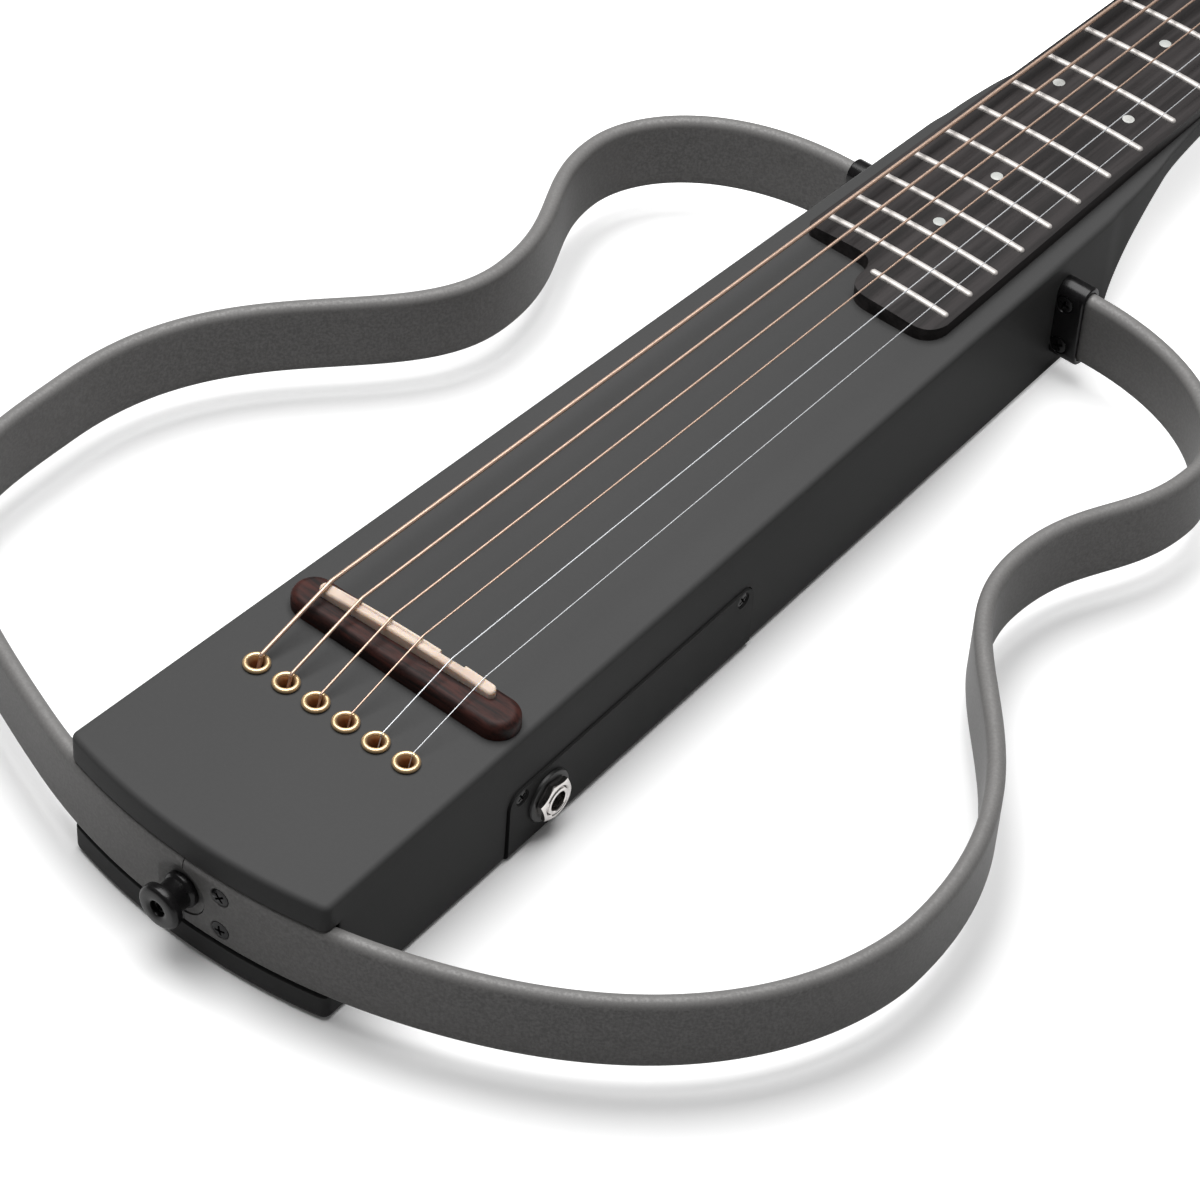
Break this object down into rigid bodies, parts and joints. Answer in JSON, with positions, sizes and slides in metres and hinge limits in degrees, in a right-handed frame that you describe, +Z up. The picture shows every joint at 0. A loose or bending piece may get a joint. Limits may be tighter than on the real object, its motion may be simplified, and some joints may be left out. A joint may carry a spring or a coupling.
{
  "type": "skeleton frame guitar",
  "caption": "Slim neck-through travel guitar with two bent tube frames tracing a full-size guitar's outline, a wooden bridge and headstock tuners.",
  "frame": {"origin": "on the flat back, on the centreline, straight below the middle of the saddle", "axes": "+X to the treble side, +Y along the strings to the headstock, +Z up through the top"},
  "size_m": [0.33, 0.9288, 0.0579],
  "materials": {
    "satin_black": "satin near-black lacquer on wood, finely grained",
    "board_wood": "charcoal-dark close-grained wood with lengthwise streaks",
    "cream": "cream bone-like, lightly polished",
    "rosewood": "dark reddish streaked wood, oiled",
    "nickel": "bright nickel plate",
    "steel": "plain steel",
    "gold": "polished pale gold plate",
    "bronze_wire": "round-wound bronze wire",
    "steel_wire": "bright plain steel wire",
    "gunmetal": "fine mottled metallic grey, semi-gloss",
    "black_metal": "glossy black plated metal",
    "cover_black": "satin black moulded plastic",
    "black_plastic": "matt black plastic",
    "circuit": "green circuit board"
  },
  "bodies": {
    "instrument": {"body_and_neck": "satin_black", "fingerboard": "board_wood", "nut": "cream", "bridge": "rosewood", "saddle": "cream", "saddle_pickup": "nickel", "truss_rod": "steel", "ferrule_low_e": "gold", "string_low_e": "bronze_wire", "ferrule_a": "gold", "string_a": "bronze_wire", "ferrule_d": "gold", "string_d": "bronze_wire", "ferrule_g": "gold", "string_g": "bronze_wire", "ferrule_b": "gold", "string_b": "steel_wire", "ferrule_high_e": "gold", "string_high_e": "steel_wire", "frame_treble": "gunmetal", "frame_bass": "gunmetal", "socket_treble": "black_metal", "socket_bass": "black_metal", "tail_screw_lower": "black_metal", "tail_screw_upper": "black_metal", "socket_screw_treble_lower": "black_metal", "socket_screw_treble_upper": "black_metal", "socket_screw_bass_lower": "black_metal", "socket_screw_bass_upper": "black_metal", "clamp_insert": "gold", "electronics_cover": "cover_black", "cover_screw_side_front": "black_metal", "cover_screw_side_rear": "black_metal", "cover_screw_back_front": "black_metal", "cover_screw_back_rear": "black_metal", "jack_socket": "black_metal", "jack_washer": "black_plastic", "jack_nut": "nickel", "battery": "black_plastic", "preamp_board": "circuit", "tuner_housing_low_e": "black_metal", "tuner_housing_a": "black_metal", "tuner_housing_d": "black_metal", "tuner_housing_g": "black_metal", "tuner_housing_b": "black_metal", "tuner_housing_high_e": "black_metal"},
    "knob_low_e": {"tuner_knob_low_e": "black_metal"},
    "post_low_e": {"tuner_post_low_e": "black_metal"},
    "knob_a": {"tuner_knob_a": "black_metal"},
    "post_a": {"tuner_post_a": "black_metal"},
    "knob_d": {"tuner_knob_d": "black_metal"},
    "post_d": {"tuner_post_d": "black_metal"},
    "knob_g": {"tuner_knob_g": "black_metal"},
    "post_g": {"tuner_post_g": "black_metal"},
    "knob_b": {"tuner_knob_b": "black_metal"},
    "post_b": {"tuner_post_b": "black_metal"},
    "knob_high_e": {"tuner_knob_high_e": "black_metal"},
    "post_high_e": {"tuner_post_high_e": "black_metal"},
    "button": {"strap_button": "black_metal", "clamp_screw": "black_metal"}
  },
  "joints": [
    {"name": "tuner_knob_turn_low_e", "type": "hinge", "parent": "instrument", "child": "knob_low_e", "pos_m": [-0.02581, 0.69306, 0.02136], "axis": [-1, 0, 0], "continuous": true},
    {"name": "tuner_post_turn_low_e", "type": "hinge", "parent": "instrument", "child": "post_low_e", "pos_m": [-0.02581, 0.70154, 0.03936], "axis": [0, 0.1392, 0.9903], "continuous": true},
    {"name": "tuner_knob_turn_a", "type": "hinge", "parent": "instrument", "child": "knob_a", "pos_m": [-0.02481, 0.73069, 0.01608], "axis": [-1, 0, 0], "continuous": true},
    {"name": "tuner_post_turn_a", "type": "hinge", "parent": "instrument", "child": "post_a", "pos_m": [-0.02481, 0.73917, 0.03407], "axis": [0, 0.1392, 0.9903], "continuous": true},
    {"name": "tuner_knob_turn_d", "type": "hinge", "parent": "instrument", "child": "knob_d", "pos_m": [-0.0238, 0.76832, 0.01079], "axis": [-1, 0, 0], "continuous": true},
    {"name": "tuner_post_turn_d", "type": "hinge", "parent": "instrument", "child": "post_d", "pos_m": [-0.0238, 0.7768, 0.02878], "axis": [0, 0.1392, 0.9903], "continuous": true},
    {"name": "tuner_knob_turn_g", "type": "hinge", "parent": "instrument", "child": "knob_g", "pos_m": [0.0238, 0.76832, 0.01079], "axis": [1, 0, 0], "continuous": true},
    {"name": "tuner_post_turn_g", "type": "hinge", "parent": "instrument", "child": "post_g", "pos_m": [0.0238, 0.7768, 0.02878], "axis": [0, 0.1392, 0.9903], "continuous": true},
    {"name": "tuner_knob_turn_b", "type": "hinge", "parent": "instrument", "child": "knob_b", "pos_m": [0.02481, 0.73069, 0.01608], "axis": [1, 0, 0], "continuous": true},
    {"name": "tuner_post_turn_b", "type": "hinge", "parent": "instrument", "child": "post_b", "pos_m": [0.02481, 0.73917, 0.03407], "axis": [0, 0.1392, 0.9903], "continuous": true},
    {"name": "tuner_knob_turn_high_e", "type": "hinge", "parent": "instrument", "child": "knob_high_e", "pos_m": [0.02581, 0.69306, 0.02136], "axis": [1, 0, 0], "continuous": true},
    {"name": "tuner_post_turn_high_e", "type": "hinge", "parent": "instrument", "child": "post_high_e", "pos_m": [0.02581, 0.70154, 0.03936], "axis": [0, 0.1392, 0.9903], "continuous": true},
    {"name": "strap_button_out", "type": "slide", "parent": "instrument", "child": "button", "axis": [0, -1, 0], "range_m": [0, 0.014]}
  ],
  "couplings": [
    {"joint": "tuner_post_turn_low_e", "follows": "tuner_knob_turn_low_e", "ratio": 0.066667},
    {"joint": "tuner_post_turn_a", "follows": "tuner_knob_turn_a", "ratio": 0.066667},
    {"joint": "tuner_post_turn_d", "follows": "tuner_knob_turn_d", "ratio": 0.066667},
    {"joint": "tuner_post_turn_g", "follows": "tuner_knob_turn_g", "ratio": -0.066667},
    {"joint": "tuner_post_turn_b", "follows": "tuner_knob_turn_b", "ratio": -0.066667},
    {"joint": "tuner_post_turn_high_e", "follows": "tuner_knob_turn_high_e", "ratio": -0.066667}
  ]
}
